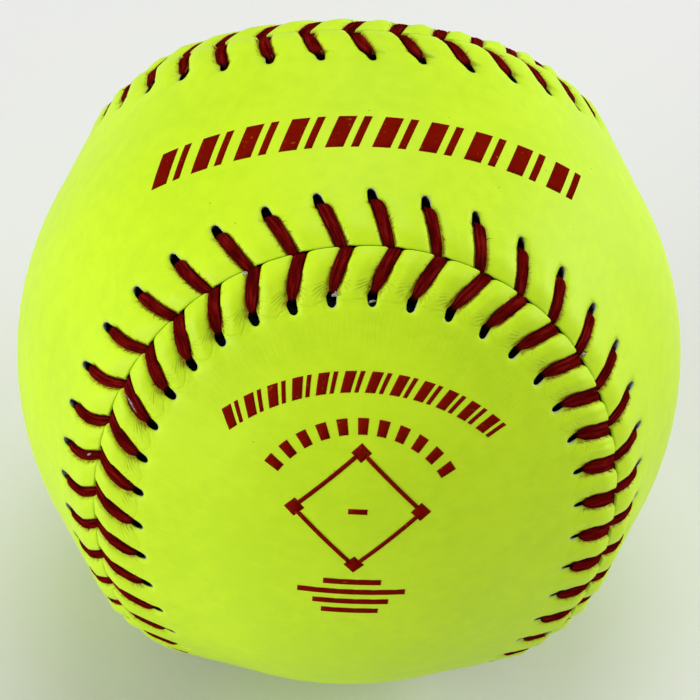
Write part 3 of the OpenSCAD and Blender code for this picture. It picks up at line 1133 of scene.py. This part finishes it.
def on_lobe(flat):
    """x runs to the right and y up from the middle of the print on the front lobe."""
    far = np.linalg.norm(flat, axis=-1, keepdims=True)
    aim = flat/np.maximum(far, 1e-9)
    turned = aim[..., :1]*lobe_right + aim[..., 1:]*lobe_up
    return on_leather(np.cos(far/ball_r)*lobe_middle + np.sin(far/ball_r)*turned)


def on_arc(centre_y, radius):
    """A layout bent round an arc of the lobe. x is then a run along the arc."""
    def bent(flat):
        turn_by = flat[..., 0]/radius
        far = radius + flat[..., 1]
        return on_lobe(np.stack([far*np.sin(turn_by), centre_y + far*np.cos(turn_by)], axis=-1))
    return bent


def box(x, y, w, h, lean=0.0):
    return np.array([
        [x - w/2 - lean, y - h/2], [x + w/2 - lean, y - h/2],
        [x + w/2 + lean, y + h/2], [x - w/2 + lean, y + h/2]])


def bar_row(count, spacing, y, wide, thin, height, lean, on_ball):
    """A row of slanted bars, a wide one and a thin one by turns."""
    made = []
    for i in range(count):
        x = (i - (count - 1)/2)*spacing
        left = box(x - spacing*0.17, y, wide, height, lean)
        right = box(x + spacing*0.27, y, thin, height, lean)
        made.append(printed_patch("wide_bar", left, on_ball, 3, 5))
        made.append(printed_patch("thin_bar", right, on_ball, 2, 5))
    return made


marks = bar_row(count=10, spacing=6.4, y=0, wide=2.5, thin=1.1, height=5.6, lean=1.0, on_ball=on_band)
marks += bar_row(count=12, spacing=3.45, y=0.6, wide=1.45, thin=0.6, height=2.9, lean=0.45,
    on_ball=on_arc(centre_y=-10.6, radius=27.5))

# A short arc of dots over the diamond, each a small upright bar
dots = 11
dot_spacing = 2.75
on_short_arc = on_arc(centre_y=-2.7, radius=14.2)
for i in range(dots):
    dot = box((i - (dots - 1)/2)*dot_spacing, 0, 1.4, 2.3)
    marks.append(printed_patch("arc_dot", dot, on_short_arc, 2, 2))

# A diamond of four lines, with a square at each corner and a small plate in the middle
diamond_r = 9.2
diamond_y = -0.8
line_w = 0.6
base_r = 1.4
corners = np.array([(0, diamond_r), (diamond_r, 0), (0, -diamond_r), (-diamond_r, 0)])
middle = np.array([0, diamond_y])
for i in range(4):
    a = corners[i]
    b = corners[(i + 1) % 4]
    cut = (b - a)*base_r/diamond_r/2
    inset = 1 - line_w*math.sqrt(2)/diamond_r
    outline = np.array([a + cut, b - cut, (b - cut)*inset, (a + cut)*inset])
    marks.append(printed_patch("diamond_side", outline + middle, on_lobe, 8, 1))
    base = np.array([(0, -base_r), (base_r, 0), (0, base_r), (-base_r, 0)])
    marks.append(printed_patch("base_square", base + a*(1 - line_w/diamond_r) + middle, on_lobe, 2, 2))
marks.append(printed_patch("mound_plate", box(0, diamond_y, 2.6, 0.8), on_lobe, 2, 1))

# Short rules under the diamond, each at its place and width
rule_h = 0.95
for y, w in ((-12.6, 8), (-14.5, 15), (-16.4, 10.6), (-18.3, 8)):
    marks.append(printed_patch("short_rule", box(0, y, w, rule_h), on_lobe, 6, 1))

trim_print = joined(marks, "trim_print")
ink, tree, shader = new_material("dark_red_ink", 0.75, 0.0)
grain = leather_grain(tree)
worn = product(tree, patches(tree, 1900.0, 2, 0.66, 0.76), 0.35)
colour_by(tree, shader, layered(tree, ink_dark,
    (ramp(tree, grain["Tone"], 0.35, 0.65), ink_red), (worn, worn_ink)))
bump(tree, shader, grain["Height"], ink_bump)
trim_print.data.materials.clear()
trim_print.data.materials.append(ink)
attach(trim_print, "root")

# Core and cement
# The moulded core is pale foam. The cement brushed on it is black, partly painted shade:
# it shows only as the dark bottom of the awl holes and the seam.
foam_shade = (0.78, 0.72, 0.55, 1)
foam_pale = (0.88, 0.84, 0.7, 1)
cement_and_shade_black = (0.004, 0.004, 0.004, 1)
cement_and_shade_grey = (0.02, 0.02, 0.018, 1)

# The node, its material's name and roughness, the noise's scale and roughness, the
# colours and the depth of the bumps
for node_name, name, roughness, scale, rough, dark, light, depth in [
        ("core", "moulded_foam", 0.75, 900.0, 0.5, foam_shade, foam_pale, 0.0001),
        # black, partly painted shade at the bottom of the holes and the seam
        ("cement_coat", "black_cement_and_shade", 0.6, 160.0, 0.6, cement_and_shade_black, cement_and_shade_grey, 0.0002)]:
    material, tree, shader = new_material(name, roughness, 0.5)
    mottle = noise(tree, object_place(tree), scale, 4, rough)
    colour_by(tree, shader, mix_colour(tree, mottle, dark, light))
    bump(tree, shader, mottle, depth)
    cad_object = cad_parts[node_name]
    if not cad_object.material_slots:
        cad_object.data.materials.append(material)
    for cad_slot in cad_object.material_slots:
        cad_slot.material = material

# Floor and light
# A plain pale floor, soft lamps low on both sides and high behind, and pale air all round.
floor_size = 6
floor_grey = (0.8, 0.8, 0.8, 1)
air_white = (1, 1, 1, 1)
air_strength = 0.42
lamp_distance = 1.3
lamp_size = 0.8
bpy.ops.mesh.primitive_plane_add(size=floor_size, location=(0, 0, -ball_r*MM))
floor = bpy.context.object
floor.name = "floor"
pale, tree, shader = new_material("pale_floor", 0.9, 0.5)
set_sockets(shader, {"Base Color": floor_grey})
floor.data.materials.append(pale)


def soft_lamp(name, direction, power):
    bpy.ops.object.light_add(type="AREA", location=unit(np.array(direction, float))*lamp_distance)
    lamp = bpy.context.object
    lamp.name = name
    lamp.data.shape = "DISK"
    lamp.data.size = lamp_size
    lamp.data.energy = power
    lamp.rotation_euler = mathutils.Vector(lamp.location).to_track_quat("Z", "Y").to_euler()


soft_lamp("left_front_lamp", (-0.9, -0.4, 0.2), 9.2)
soft_lamp("left_high_lamp", (-0.87, 0.05, 0.5), 0.8)
soft_lamp("right_back_lamp", (0.85, 0.45, 0.2), 4.3)
soft_lamp("right_high_lamp", (0.87, 0.1, 0.5), 4.2)
soft_lamp("top_lamp", (0, 0.4, 0.9), 6.0)
world = bpy.data.worlds.new("pale_air")
bpy.context.scene.world = world
world.use_nodes = True
set_sockets(world.node_tree.nodes["Background"], {"Color": air_white, "Strength": air_strength})

bpy.context.scene.view_settings.view_transform = "Standard"
bpy.context.view_layer.update()
